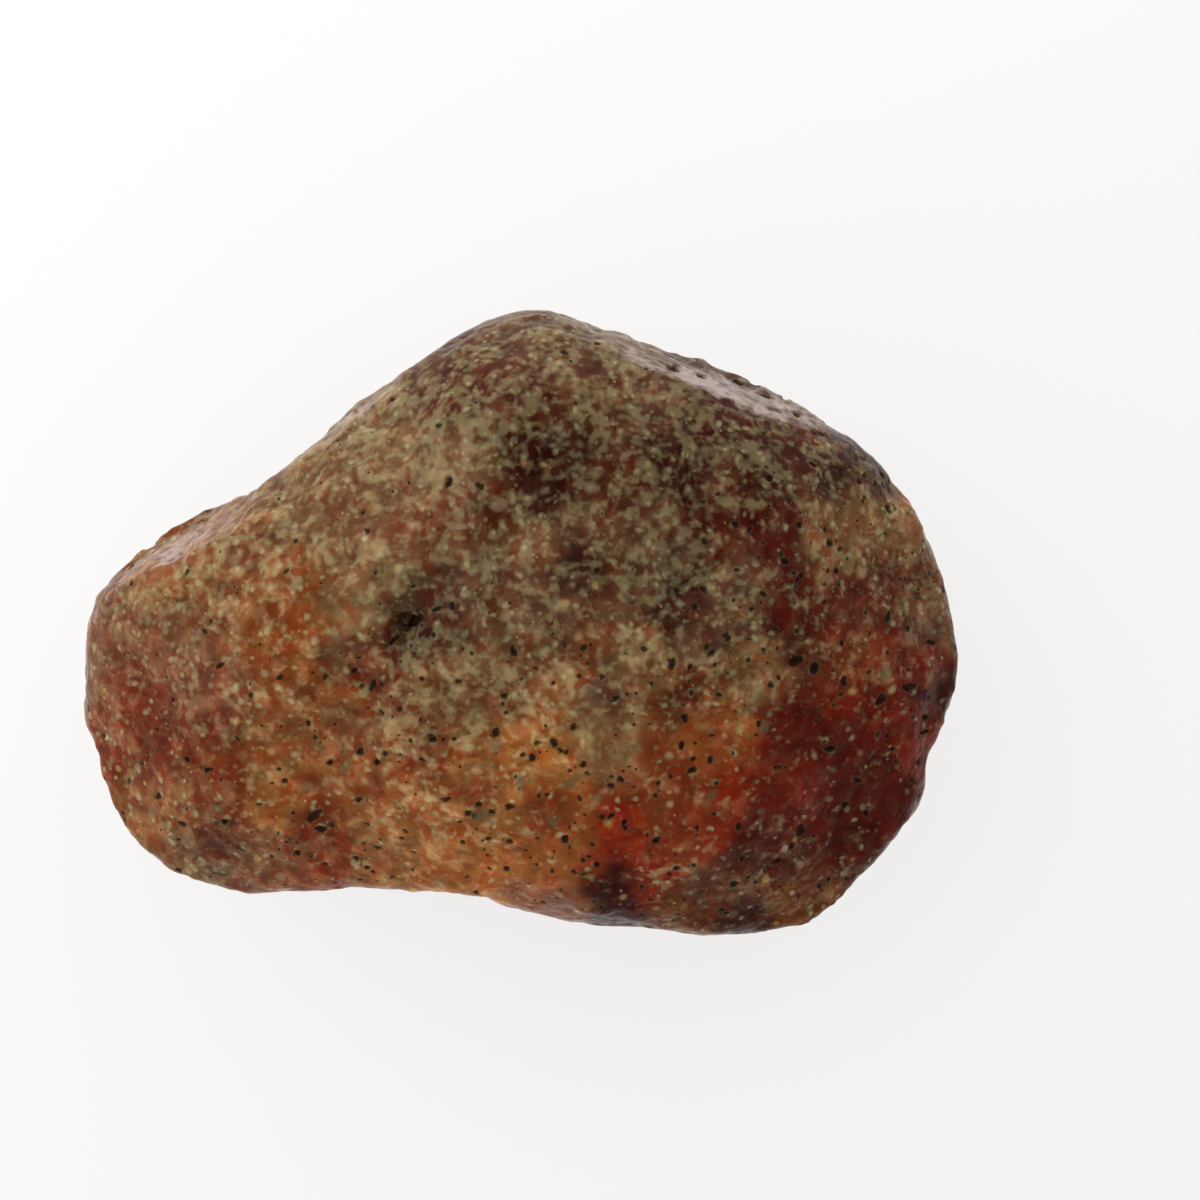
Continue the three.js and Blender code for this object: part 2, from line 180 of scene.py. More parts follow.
# The underside takes over as the skin turns down past these facings. Its colours follow one another in slow
# bands, made of noises of two sizes, over this range each way. Its markings lie evenly.
UNDERSIDE_FACINGS = (-0.15, -0.75)
UNDERSIDE_COLOURS = ("maroon", "brick", "rust", "tan", "khaki", "orange")
UNDERSIDE_BANDS = [(5.5, 1.0), (2.2, 0.5)]
UNDERSIDE_RANGE = 0.9
UNDERSIDE_FLECKS = 0.6
UNDERSIDE_HAZE = 0.5
UNDERSIDE_PORES = 0.4

# Heights over which the crest begins.
CREST_HEIGHTS = (10.0, 17.0)

# Single holes that the photograph shows: x, y, half length, half width in pixels, turn, depth.
HOLES = [
    (532, 757, 4, 6, 20, 0.24), (566, 838, 5, 5, 0, 0.28), (680, 745, 4, 6, 0, 0.22),
    (686, 715, 4, 6, 10, 0.2), (611, 816, 6, 3, 40, 0.24), (622, 822, 5, 3, 50, 0.24),
    (796, 659, 10, 5, 35, 0.32), (812, 668, 5, 7, 0, 0.28), (878, 702, 5, 10, -30, 0.32),
    (908, 685, 11, 5, 10, 0.32), (800, 828, 5, 8, -20, 0.28), (775, 862, 7, 4, 20, 0.24),
    (768, 478, 5, 6, 0, 0.24), (800, 522, 5, 5, 0, 0.24), (782, 560, 6, 5, -30, 0.24),
    (829, 750, 7, 4, 0, 0.28), (691, 756, 4, 4, 0, 0.2), (503, 697, 4, 4, 0, 0.2),
    (494, 733, 5, 7, -20, 0.24), (373, 684, 4, 7, -20, 0.24), (220, 666, 5, 3, 35, 0.2),
    (187, 757, 4, 5, 30, 0.2), (210, 768, 6, 3, 10, 0.2), (655, 838, 4, 6, -40, 0.24),
    (931, 640, 6, 4, -20, 0.28), (924, 717, 5, 4, 0, 0.28), (922, 730, 6, 3, 20, 0.28),
    (300, 852, 5, 3, 0, 0.2), (228, 820, 5, 3, 20, 0.24), (315, 815, 10, 5, 35, 0.16),
    (673, 367, 7, 4, -20, 0.4), (752, 384, 10, 4, -25, 0.22), (765, 395, 7, 3, -15, 0.25),
    (786, 395, 6, 3, -20, 0.22), (795, 415, 7, 4, -20, 0.5), (828, 424, 6, 3, -25, 0.5),
    (775, 412, 6, 3, -30, 0.5), (739, 383, 7, 3, -20, 0.22), (209, 519, 4, 3, 40, 0.5),
    (133, 566, 5, 3, 40, 0.5), (148, 544, 9, 3, 40, 0.5), (392, 396, 5, 3, 45, 0.5),
    (416, 621, 12, 6, 35, 0.3), (394, 638, 9, 3, 40, 0.2), (438, 607, 7, 3, 30, 0.18),
    (646, 369, 4, 3, -30, 0.35), (700, 374, 6, 3, -25, 0.35), (812, 432, 6, 3, -35, 0.5),
]

# Pools of grey chalcedony that fill some hollows level: x, y, half length, half width, turn.
POOLS = [
    (480, 815, 10, 7, 30), (574, 780, 13, 6, 45), (497, 742, 8, 9, 0), (222, 806, 7, 6, 0),
    (345, 766, 9, 6, 10), (881, 673, 7, 6, 0), (321, 748, 6, 5, 0), (710, 794, 7, 6, 20),
    (552, 820, 5, 6, 0), (472, 765, 6, 5, 0), (745, 708, 6, 7, 0), (762, 726, 7, 9, 0),
]

# The photograph shows only what faces further up than this.
SHOWN_FACING = 0.05

# Random pits, spread by the pore patches, and a few underneath.
PIT_COUNT = 380
PIT_RADII = (0.1, 0.24)
PIT_MOST_STRETCH = 1.7
PIT_DEPTH_SHARE = 0.8
PIT_CROWDING = 1.5
UNDERSIDE_PIT_COUNT = 90
UNDERSIDE_PIT_FACING = -0.2

# Form of a hole: how far its frayed edge reaches, in half lengths, the least upward facing that this allows
# for, the share and size of the fraying, the curve of its bowl, and how much of the bowl gets painted shade
# in full. A pool fades from its middle over the last range.
HOLE_REACH = 1.5
HOLE_LEAST_FACING = 0.25
HOLE_FRAY = 0.45
HOLE_FRAY_SIZE = 0.8
BOWL_CURVE = 1.5
BOWL_SHADED_FROM = 0.45
POOL_EDGE = (1.1, 0.5)

# Faces are halved again within this share of a hole's reach and this much more.
FINE_SHARE = 0.83
FINE_MARGIN = 0.1

# A dent of the solid that is this deep gets painted shade by this share.
SHADED_DENT_DEPTH = 0.3
DENT_SHADE = 0.55

# Relief of the skin: size of the lumps and how far they stand out. It begins at the flat patch underneath and
# is full at this height. The rows from the given one on also paint light and shade into the ground mass,
# lighter on the lumps and darker in the hollows, over this range.
RELIEF = [(3.4, 0.1), (1.6, 0.08), (0.85, 0.09), (0.45, 0.045)]
RELIEF_FULL_HEIGHT = 1.2
SHADING_FROM = 2
SHADING_RANGE = 0.09

# The painted sheen: a pale reflection of the bright floor, painted on the steep faces. The heights, facings
# and distances from the upper edge over which it begins and ends, how it thins out at the ends of the line,
# in pixels, the sizes and shares of what frays it, and how far this moves it up, in millimetres, and along,
# in pixels. Slower patches break it up.
SHEEN_HEIGHTS = (RIM_HEIGHT - 5, RIM_HEIGHT + 6)
SHEEN_FACINGS = (0.95, 0.55)
SHEEN_NEAR = (-0.3, 0.25)
SHEEN_FAR = (2.4, 1.0)
SHEEN_ENDS = (-10, 110)
SHEEN_FRAYS = [(1.6, 0.3), (0.45, 0.18)]
SHEEN_FRAYED_HEIGHT = 8
SHEEN_FRAYED_RUN = 90
SHEEN_PATCH_SIZE = 2.3
SHEEN_PATCHES = (-1.0, 0.2)

# Large odd numbers that turn a place on a lattice and a seed into a random number.
HASH_AXES = (73856093, 19349663, 83492791)
HASH_SEED = 2654435
HASH_SPREAD = 1274126177

# Seeds of the noises. The relief takes the first ones.
FRAY_SEEDS = [(SEED + 11, SEED + 12), (SEED + 13, SEED + 14)]
UNDERSIDE_SEEDS = (SEED + 21, SEED + 22)
HOLE_SEED = SEED + 31
SHEEN_SEEDS = (SEED + 41, SEED + 42)
SHEEN_PATCH_SEED = SEED + 43

# The pale fawn of haze, curds, grains and flecks at full brightness, as linear light. Where one lies, it gets
# its light from the red of the ground mass, times the first number, and from the second.
FAWN = (1.0, 0.86, 0.42)
HAZE_LIGHT = (0.5, 0.005)
WISP_LIGHT = (0.35, 0.012)
CURD_LIGHT = (0.65, 0.15)
GRAIN_LIGHT = (0.9, 0.2)
FLECK_LIGHT = (0.9, 0.25)

# What the ground mass is multiplied by where it is redder, between pale curds, in maroon spots, in wisps and
# under curds, and what cream is multiplied by in amber flecks.
REDDER = (1.05, 0.68, 0.62)
BETWEEN_CURDS = (0.62, 0.42, 0.4)
MAROON = (0.62, 0.35, 0.4)
WISP_GROUND = 1.3
CURD_GROUND = 0.5
AMBER = (1.0, 0.66, 0.42)

# Tones of the smaller markings, from 0 to 255. The pore and pit tones are painted shade inside holes.
DROP_TONE = (120, 116, 84)
PORE_SHADE_TONE = (34, 26, 18)
PORE_LIP_TONE = (112, 104, 66)
PIT_SHADE_TONE = (40, 24, 17)
PIT_LIP_TONE = (104, 96, 68)
POOL_TONE = (102, 94, 64)
# A painted reflection: the pale tone of the sheen on the steep faces.
SHEEN_TONE = (204, 180, 170)
CHIP_TONE = (70, 30, 24)

# Clouds of noise: size of the lumps, detail, roughness, and an offset that keeps each apart from the others.
Cloud = namedtuple("Cloud", "size detail roughness offset", defaults=[(0.0, 0.0, 0.0)])
SHADE_CLOUD = Cloud(0.9, 2.0, 0.6)
HUE_CLOUD = Cloud(0.9, 2.0, 0.55, (31.0, 7.0, 3.0))
HAZE_CLOUD = Cloud(0.8, 2.0, 0.6, (5.0, 51.0, 13.0))
WISP_CLOUD = Cloud(1.5, 1.0, 0.5, (61.0, 1.0, 23.0))
CURD_CLOUD = Cloud(0.5, 1.5, 0.5, (2.0, 5.0, 43.0))
CROWD_CLOUD = Cloud(1.5, 1.0, 0.5, (8.0, 33.0, 4.0))
SHEEN_CLOUD = Cloud(0.8, 2.0, 0.65, (9.0, 21.0, 3.0))
GRAIN_CLOUD = Cloud(0.5, 2.0, 0.6)
SPECK_CLOUD = Cloud(0.16, 1.0, 0.6)

# Dots: size of the cells that hold one each, least and most radius, the share of the radius inside the soft
# edge, and the offset. Flecks have one such share below the crest and another on it.
Dots = namedtuple("Dots", "cell least most core offset")
GRAINS = Dots(0.44, 0.1, 0.26, 0.15, (11.0, 0.0, 3.0))
MAROON_SPOTS = Dots(1.3, 0.15, 0.42, 0.1, (0.0, 23.0, 9.0))
GREEN_DROPS = Dots(0.8, 0.1, 0.26, 0.5, (7.0, 3.0, 19.0))
SHEEN_CHIPS = Dots(0.7, 0.12, 0.4, 0.1, (4.0, 8.0, 31.0))
LARGE_FLECKS = Dots(0.8, 0.16, 0.34, (0.45, 0.05), (0.0, 13.0, 0.0))
SMALL_FLECKS = Dots(0.45, 0.07, 0.18, (0.45, 0.05), (17.0, 0.0, 5.0))
SMALL_PORES = Dots(0.5, 0.075, 0.195, 0.1, (3.0, 29.0, 1.0))
LARGE_PORES = Dots(0.75, 0.15, 0.33, 0.1, (13.0, 2.0, 11.0))

# Soft steps: the range in which each lies, and its results at the low and at the high end.
Step = namedtuple("Step", "low high at_low at_high", defaults=[0.0, 1.0])
# Painted light and shade of the relief: lighter on the lumps and darker in the hollows.
PAINTED_RELIEF_SHADING = Step(-0.8, 0.8, 0.78, 1.18)
CLOUD_SHADES = Step(0.3, 0.7, 0.82, 1.18)
REDDER_FROM_HUE = Step(0.42, 0.62)
DEEPER_FROM_HAZE = Step(0.1, 1.0, 0.0, 0.85)
HAZE_FROM_LEVEL = Step(0.52, 0.72)
HAZE_MOST = Step(0.0, 0.3, 0.0, 0.5)
WISP_FROM_LINE = Step(0.0, 0.04, 1.0, 0.0)
WISP_MOST = Step(0.0, 0.8, 0.22, 0.0)
CURD_FROM_LEVEL = Step(0.86, 1.16)
GRAINS_FROM_CROWD = Step(0.4, 0.6, 0.3, 1.1)
GRAIN_STRENGTH = Step(0.0, 1.0, 0.25, 0.9)
LARGE_FLECK_STRENGTH = Step(0.0, 1.0, 0.2975, 0.85)
SMALL_FLECK_STRENGTH = Step(0.0, 1.0, 0.28, 0.8)
AMBER_FLECKS = Step(0.85, 0.97)
SHEEN_FROM_THICKNESS = Step(0.0, 1.3, 0.0, 0.7)
SHEEN_WITHIN = Step(0.0, 0.8)
PORE_LIP = Step(0.05, 0.5, 0.0, 0.25)
# Painted shade inside the pores.
PORE_SHADE_SHARE = Step(0.45, 0.75, 0.0, 0.88)
PIT_LIP_BEGINS = Step(0.02, 0.3)
PIT_LIP_ENDS = Step(0.3, 0.7)
PIT_SHADE_SHARE = Step(0.25, 0.95, 0.0, 0.88)
SPECK_RANGE = Step(0.3, 0.7)
GRAIN_ROUGHNESS = Step(0.3, 0.7, 0.2, 0.32)

# How much of one thing is added to the level of another before its soft step.
HAZE_TO_HAZE = 0.14
LIFT_TO_HAZE = 0.07
CROWD_TO_CURD = 0.5
HAZE_TO_CURD = 0.26
LIFT_TO_CURD = 0.03
CLOUD_TO_SHEEN = 2.6

# How many of the cells of dots are filled, at most, and how strongly the smaller markings are laid.
LARGE_FLECK_AMOUNT = 0.85
SMALL_FLECK_AMOUNT = 0.6
SPOT_AMOUNT = 0.4
DROP_AMOUNT = 0.22
PORE_AMOUNT = 0.5
CHIP_AMOUNT = 0.85
SPOT_STRENGTH = 0.7
DROP_STRENGTH = 0.7
POOL_STRENGTH = 0.6
PIT_LIP_STRENGTH = 0.35
CHIP_STRENGTH = 0.8

# Pairs for below the crest and on it: the most that curds cover, and how dark and light the specks are.
CURD_MOST = (0.38, 0.75)
DARK_SPECKS = (0.9, 0.98)
LIGHT_SPECKS = (1.1, 1.02)

# Drifts that bend the markings: their sizes, and how far they move the clouds and the dots.
SLOW_DRIFT_SIZE = 1.6
FAST_DRIFT_SIZE = 0.35
CLOUD_DRIFT = 0.9
DOT_DRIFT = 0.45
DOT_JITTER = 0.12

# The markings of the painted sheen are stretched down the face.
SHEEN_STRETCH = (1.0, 1.0, 0.35)

# Finish of the stone. The bump is weaker on the crest, which is a little rougher.
STONE_FINISH = {
    "IOR": 1.54,
    "Specular IOR Level": 0.05,
    "Subsurface Weight": 0.12,
    "Subsurface Radius": (0.7, 0.3, 0.15),
    "Subsurface Scale": 1.0 * MM,
}
CREST_ROUGHNESS = 0.12
BUMP_HEIGHT = 0.15
BUMP_STRENGTH = (0.6, 0.3)
GRAIN_BUMP = 0.8
SPECK_BUMP = 0.08

# The floor: its size, its grey, and its glow, which goes from the first value at the back left to the second
# at the front right, over this far to each side.
FLOOR_SIZE = 2000.0
FLOOR_GREY = 0.3
FLOOR_ROUGHNESS = 0.9
FLOOR_GLOW = (0.82, 0.68)
FLOOR_GLOW_REACH = 70.0
FLOOR_GLOW_WAY = (0.707, -0.707, 0.0)

# Light from all sides: how strong it is at the walls and from above, by height, and how strong it is at the
# front right and at the back left, along this way.
WALL_LIGHT = Step(0.45, 0.85, 1.0, 0.3)
SIDE_LIGHT = Step(-0.9, 0.9, 0.75, 1.6)
SIDE_WAY = (-0.6, 0.8, 0.0)

UP = (0.0, 0.0, 1.0)
WHITE = (1.0, 1.0, 1.0, 1.0)


def linear(channel):
    """One channel of a screen colour, from 0 to 255, as linear light."""
    share = np.asarray(channel, float) / 255
    return np.where(share <= 0.04045, share / 12.92, ((share + 0.055) / 1.055) ** 2.4)


def smooth_step(low, high, value):
    """Rises softly from 0 at low to 1 at high."""
    share = np.clip((value - low) / (high - low), 0, 1)
    return share * share * (3 - 2 * share)


def lattice_noise(points, seed):
    """Smooth noise from -1 to 1 over a lattice of unit cells."""
    cell = np.floor(points).astype(np.int64)
    part = points - cell
    blend = part * part * (3 - 2 * part)
    total = np.zeros(len(points))
    for corner in np.ndindex(2, 2, 2):
        mixed = np.bitwise_xor.reduce((cell + corner) * HASH_AXES, axis=1) ^ (seed * HASH_SEED)
        mixed = (mixed ^ (mixed >> 13)) * HASH_SPREAD
        value = ((mixed ^ (mixed >> 16)) & 0xFFFF) / (0xFFFF / 2) - 1
        total += value * np.prod(np.where(corner, blend, 1 - blend), axis=1)
    return total


def layered_noise(points, layers, seeds):
    """Noises added up: each layer has a size and a share."""
    return sum(share * lattice_noise(points / size, seed) for (size, share), seed in zip(layers, seeds))


def read_places(mesh):
    places = np.empty(3 * len(mesh.vertices))
    mesh.vertices.foreach_get("co", places)
    return places.reshape(-1, 3)


def write_places(mesh, places):
    mesh.vertices.foreach_set("co", places.ravel())
    mesh.update()


def read_normals(mesh):
    normals = np.empty(3 * len(mesh.vertices), np.float32)
    mesh.vertex_normals.foreach_get("vector", normals)
    return normals.reshape(-1, 3).astype(float)


def read_edges(mesh):
    edges = np.empty(2 * len(mesh.edges), np.int32)
    mesh.edges.foreach_get("vertices", edges)
    return edges.reshape(-1, 2)


def neighbour_mean(places, edges):
    """For each vertex, the mean place of those that it shares an edge with."""
    ends = np.concatenate([edges, edges[:, ::-1]])
    count = np.bincount(ends[:, 0], minlength=len(places))
    sums = [np.bincount(ends[:, 0], places[ends[:, 1], axis], len(places)) for axis in range(3)]
    return np.stack(sums, axis=1) / count[:, None]


def even_out(places, edges, rounds):
    """Smooths without shrinking: each round moves in a little and then out a little more."""
    for _ in range(rounds):
        for share in SMOOTHING_SHARES:
            places = places + share * (neighbour_mean(places, edges) - places)
    return places


def even_copy(node):
    """A closed mesh of even faces over the solid."""
    skin = bpy.data.objects.new("agate_skin", node.data.copy())
    bpy.context.scene.collection.objects.link(skin)
    weld = skin.modifiers.new("weld", "WELD")
    weld.merge_threshold = WELD * MM
    remesh = skin.modifiers.new("remesh", "REMESH")
    remesh.mode = "VOXEL"
    remesh.voxel_size = VOXEL * MM
    graph = bpy.context.evaluated_depsgraph_get()
    mesh = bpy.data.meshes.new_from_object(skin.evaluated_get(graph))
    skin.modifiers.clear()
    skin.data = mesh
    mesh.materials.clear()
    return skin


def round_facets(mesh):
    """Rounds the facets away, keeps the dents, and returns how deep each vertex lies in one."""
    rough = read_places(mesh) / MM
    smooth = even_out(rough, read_edges(mesh), FORM_ROUNDS)
    write_places(mesh, smooth * MM)
    normals = read_normals(mesh)
    sunk = -np.sum((rough - smooth) * normals, axis=1)
    kept = smooth_step(*KEPT_DENT, sunk)
    write_places(mesh, (smooth - normals * (sunk * kept)[:, None]) * MM)
    return sunk * kept


def refine(mesh, chosen):
    """Halves the edges of the faces that a test chooses."""
    build = bmesh.new()
    build.from_mesh(mesh)
    edges = {edge for face in build.faces if chosen(face) for edge in face.edges}
    order = sorted(edges, key=lambda edge: edge.index)
    bmesh.ops.subdivide_edges(build, edges=order, cuts=1, use_grid_fill=True)
    build.to_mesh(mesh)
    build.free()
    mesh.update()


def store(mesh, name, values):
    """Keeps a number or a colour for each vertex, for the material to read."""
    if values.ndim == 1:
        mesh.attributes.new(name, "FLOAT", "POINT").data.foreach_set("value", values)
        return
    full = np.concatenate([values, np.ones((len(values), 1))], axis=1)
    mesh.attributes.new(name, "FLOAT_COLOR", "POINT").data.foreach_set("color", full.ravel())


def keep_through(mesh, values, step):
    """Runs a step that changes the mesh and returns the values carried over to its new vertices."""
    store(mesh, "kept", values)
    step()
    carried = np.empty(len(mesh.vertices))
    mesh.attributes["kept"].data.foreach_get("value", carried)
    mesh.attributes.remove(mesh.attributes["kept"])
    return carried


def in_photo(places):
    """Where the camera sees each place, in pixels of the photograph."""
    scale = FRAME_PIXELS / FRAME_WIDTH * CAMERA_DISTANCE
    away = CAMERA_DISTANCE + RIM_HEIGHT - places[:, 2]
    x = FRAME_PIXELS / 2 + (places[:, 0] - CAMERA_X) * scale / away
    y = FRAME_PIXELS / 2 - (places[:, 1] - CAMERA_Y) * scale / away
    return np.stack([x, y], axis=1)


def relief(places, first=0):
    """How far the skin stands out, from the sizes of lumps that begin with the given row."""
    height = np.zeros(len(places))
    for step, (size, amount) in enumerate(RELIEF[first:], start=first):
        height += amount * lattice_noise(places / size, SEED + step)
    return height


def along_line(seen, line):
    """The nearest point of a line to each seen place.

    Returns how far along the line it lies and how far away, the offset from it, and on which side. The
    distance is in millimetres, and the rest is in pixels.
    """
    line = np.array(line, float)
    nearest = np.full(len(seen), np.inf)
    run = np.zeros(len(seen))
    offset = np.zeros((len(seen), 2))
    outside = np.zeros(len(seen), bool)
    travelled = 0.0
    for start, end in zip(line, line[1:]):
        length = np.linalg.norm(end - start)
        way = (end - start) / length
        share = np.clip((seen - start) @ way, 0, length)
        away = seen - start - share[:, None] * way
        distance = np.linalg.norm(away, axis=1)
        closer = distance < nearest
        nearest = np.where(closer, distance, nearest)
        run = np.where(closer, travelled + share, run)
        offset = np.where(closer[:, None], away, offset)
        outside = np.where(closer, away @ np.array((way[1], -way[0])) > 0, outside)
        travelled += length
    return run, nearest * PIXEL, offset, outside


def drop_below_edge(heights, run, on_edge):
    """How far each vertex lies below the upper edge beside it."""
    stops = np.linspace(0, run.max(), EDGE_STOPS)
    gap = stops[1]
    levels = [np.median(heights[on_edge & (np.abs(run - stop) < gap)]) for stop in stops]
    return np.interp(run, stops, levels) - heights


def soft_excess(value, softness):
    """How far a value lies above zero, with a rounded corner at zero."""
    return softness * np.logaddexp(0, value / softness)


def push_steep_faces(places, normals):
    """Pushes the wall of the back in sideways, so that it slopes away from each upper edge."""
    seen = in_photo(places)
    heights = places[:, 2]
    moved = places.copy()
    for line in STEEP_EDGES:
        run, away, offset, outside = along_line(seen, line)
        length = run.max()
        on_edge = (normals[:, 2] > EDGE_FACING) & (away < EDGE_NEAR) & (run > 0) & (run < length)
        drop = drop_below_edge(heights, run, on_edge)
        limit = np.maximum(drop, 0) / np.tan(np.radians(STEEP_SLOPE))
        over = np.minimum(soft_excess(away - limit, STEEP_SOFTNESS), STEEP_MOST)
        ends = smooth_step(0, STEEP_END, run) * smooth_step(length, length - STEEP_END, run)
        wall = outside & (away < STEEP_WIDTH) & (heights > STEEP_LOWEST)
        push = ends * over * wall
        inward = -offset / np.maximum(np.linalg.norm(offset, axis=1), TINY)[:, None]
        moved[:, 0] += push * inward[:, 0]
        moved[:, 1] -= push * inward[:, 1]
    return moved


def nearest_seen(seen, shown, spots):
    """The vertex that shows at each spot of the photograph."""
    index = np.flatnonzero(shown)
    tree = KDTree(len(index))
    for vertex in index:
        tree.insert((seen[vertex, 0], seen[vertex, 1], 0), int(vertex))
    tree.balance()
    return [tree.find((x, y, 0))[1] for x, y in spots]


class Hole:
    """An oval on the skin: where it is, the way it faces, its half sizes, turn and depth.

    The half sizes lie in the skin, or in the level plane where plan is true.
    """

    def __init__(self, place, normal, length, width, turn, depth=0.0, plan=False):
        self.place = place
        self.normal = Vector((0, 0, 1)) if plan else Vector(normal)
        self.length = length
        self.width = width
        self.turn = turn
        self.depth = depth
        self.reach = HOLE_REACH * max(length, width)
        if plan:
            self.reach /= max(normal[2], HOLE_LEAST_FACING)


class Skin:
    """The places and facing of the skin, and what the holes do to it: how deep, how much painted shade, how
    filled.
    """

    def __init__(self, places, normals, sunk):
        self.places = places
        self.normals = normals
        self.drop = np.zeros(len(places))
        self.pit_shade = DENT_SHADE * smooth_step(0.0, SHADED_DENT_DEPTH, sunk)
        self.pool = np.zeros(len(places))
        self.tree = KDTree(len(places))
        for index, place in enumerate(places):
            self.tree.insert(place, index)
        self.tree.balance()

    def around(self, hole):
        """The vertices near a hole, and how far out each lies, 1 being the edge of its frayed oval."""
        near = np.array([index for _, index, _ in self.tree.find_range(hole.place, hole.reach)])
        along = Vector((np.cos(hole.turn), np.sin(hole.turn), 0))
        along = (along - along.dot(hole.normal) * hole.normal).normalized()
        across = hole.normal.cross(along)
        offset = self.places[near] - hole.place
        first = offset @ np.array(along) / hole.length
        second = offset @ np.array(across) / hole.width
        noise = lattice_noise(self.places[near] / (HOLE_FRAY_SIZE * hole.width), HOLE_SEED)
        return near, np.hypot(first, second) / (1 + HOLE_FRAY * noise)

    def press(self, hole):
        """Sinks a bowl into the skin and paints shade into it."""
        near, out = self.around(hole)
        bowl = np.clip(1 - out**2, 0, 1) ** BOWL_CURVE
        self.drop[near] = np.maximum(self.drop[near], hole.depth * bowl)
        self.pit_shade[near] = np.maximum(self.pit_shade[near], smooth_step(0.0, BOWL_SHADED_FROM, bowl))

    def fill(self, hole):
        """Marks a level pool in a hollow."""
        near, out = self.around(hole)
        self.pool[near] = np.maximum(self.pool[near], smooth_step(*POOL_EDGE, out))


def find_listed(places, normals, seen, table):
    """The holes of a table of spots in the photograph. A pool has no depth."""
    shown = normals[:, 2] > SHOWN_FACING
    holes = []
    for row, vertex in zip(table, nearest_seen(seen, shown, [row[:2] for row in table])):
        _, _, length, width, turn, *depth = row
        form = (length * PIXEL, width * PIXEL, np.radians(turn), *depth)
        holes.append(Hole(places[vertex], normals[vertex], *form, plan=True))
    return holes


def find_random_pits(places, normals, seen, random):
    """Small pits where the pore patches are thick, and some underneath."""
    under = normals[:, 2] <= UNDERSIDE_PIT_FACING
    thick = blend_patches(seen, PORE_PATCHES)[:, 0] ** PIT_CROWDING
    pits = []
    for count, weight in ((PIT_COUNT, thick * ~under), (UNDERSIDE_PIT_COUNT, 1.0 * under)):
        for vertex in random.choice(len(weight), count, replace=False, p=weight / weight.sum()):
            width = PIT_RADII[0] + (PIT_RADII[1] - PIT_RADII[0]) * random.uniform() ** 2
            length = width * random.uniform(1.0, PIT_MOST_STRETCH)
            turn = random.uniform(0, np.pi)
            depth = PIT_DEPTH_SHARE * width
            pits.append(Hole(places[vertex], normals[vertex], length, width, turn, depth))
    return pits


def near_a_hole(holes):
    """A test of whether a face lies in a hole or on its edge."""
    tree = KDTree(len(holes))
    for index, hole in enumerate(holes):
        tree.insert(hole.place, index)
    tree.balance()
    widest = max(hole.reach for hole in holes)

    def test(face):
        if face.normal.z < FACING_DOWN:
            return False
        found = tree.find_range(face.calc_center_median() / MM, widest)
        return any(away < FINE_SHARE * holes[index].reach + FINE_MARGIN for _, index, away in found)

    return test


def blend_patches(seen, patches):
    """Weighted mean of what soft round patches say. Each patch is x, y, reach, value."""
    total = 0
    weight = LEAST_WEIGHT
    for x, y, reach, value in patches:
        away = (seen[:, :1] - x) ** 2 + (seen[:, 1:] - y) ** 2
        share = np.exp(-away / (PATCH_SOFTNESS * reach * reach)) / reach
        total = total + share * value
        weight = weight + share
    return total / weight


def fray_patches(seen, places):
    """Moves the seen places sideways by noise, so that the patches get ragged edges."""
    return seen + np.stack([layered_noise(places, FRAYS, seeds) for seeds in FRAY_SEEDS], axis=1)


def underside_tint(places):
    """Colour of the parts that the photograph doesn't show: the same colours in slow bands."""
    value = layered_noise(places, UNDERSIDE_BANDS, UNDERSIDE_SEEDS)
    colours = np.stack([linear(PALETTE[name]) for name in UNDERSIDE_COLOURS])
    stops = np.linspace(-UNDERSIDE_RANGE, UNDERSIDE_RANGE, len(colours))
    return np.stack([np.interp(value, stops, channel) for channel in colours.T], axis=1)


def painted_sheen_of(skin, seen):
    """How thick the painted reflection lies: in patches on the steep faces, thickest along their upper edge.
    """
    fray = layered_noise(skin.places, SHEEN_FRAYS, SHEEN_SEEDS)
    patches = lattice_noise(skin.places / SHEEN_PATCH_SIZE, SHEEN_PATCH_SEED)
    patchy = smooth_step(*SHEEN_PATCHES, patches + fray)
    high = smooth_step(*SHEEN_HEIGHTS, skin.places[:, 2] + SHEEN_FRAYED_HEIGHT * fray)
    steep = smooth_step(*SHEEN_FACINGS, skin.normals[:, 2])
    painted_sheen = np.zeros(len(seen))
    for line in STEEP_EDGES:
        run, away, _, outside = along_line(seen, line)
        below_edge = smooth_step(*SHEEN_NEAR, np.where(outside, away, -away) + fray)
        close = smooth_step(*SHEEN_FAR, away + fray)
        to_end = np.minimum(run, run.max() - run)
        ends = smooth_step(*SHEEN_ENDS, to_end + SHEEN_FRAYED_RUN * fray)
        painted_sheen = np.maximum(painted_sheen, high * steep * below_edge * close * ends * patchy)
    return painted_sheen


